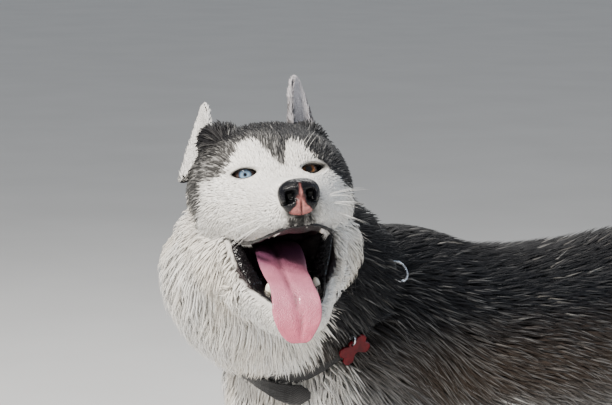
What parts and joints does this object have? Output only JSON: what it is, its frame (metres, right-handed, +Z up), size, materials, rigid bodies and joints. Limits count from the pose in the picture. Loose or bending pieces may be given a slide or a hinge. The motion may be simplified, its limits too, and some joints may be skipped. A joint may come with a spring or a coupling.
{
  "type": "dog",
  "caption": "Life-size still model of a standing siberian husky, its head turned to the left, panting with the tongue out, in a collar with a bone-shaped tag.",
  "frame": {"origin": "middle of the model's bounding box on the floor it stands on", "axes": "+Z up, the body faces -Y, its left side is +X; the head is turned to its left"},
  "size_m": [0.414, 0.8814, 0.8136],
  "materials": {
    "coat_white": "white fur",
    "coat_grey": "grey and black fur",
    "eye_brown": "wet, brown iris",
    "eye_blue": "wet, pale blue iris",
    "nose_leather": "moist, pebbled",
    "tongue_flesh": "moist, pink",
    "webbing": "woven strap",
    "steel": "plain wire",
    "red_enamel": "gloss red"
  },
  "bodies": {
    "root": {"head": "coat_white", "neck": "coat_grey", "torso": "coat_grey", "leg_front_left": "coat_white", "leg_front_right": "coat_white", "leg_hind_left": "coat_white", "leg_hind_right": "coat_white", "tail_root": "coat_grey", "tail_plume": "coat_grey", "ear_left": "coat_grey", "ear_right": "coat_grey", "eye_left": "eye_brown", "eye_right": "eye_blue", "nose": "nose_leather", "tongue": "tongue_flesh", "collar": "webbing", "collar_end": "webbing", "collar_ring": "steel", "tag_ring": "steel", "tag": "red_enamel"}
  },
  "joints": []
}
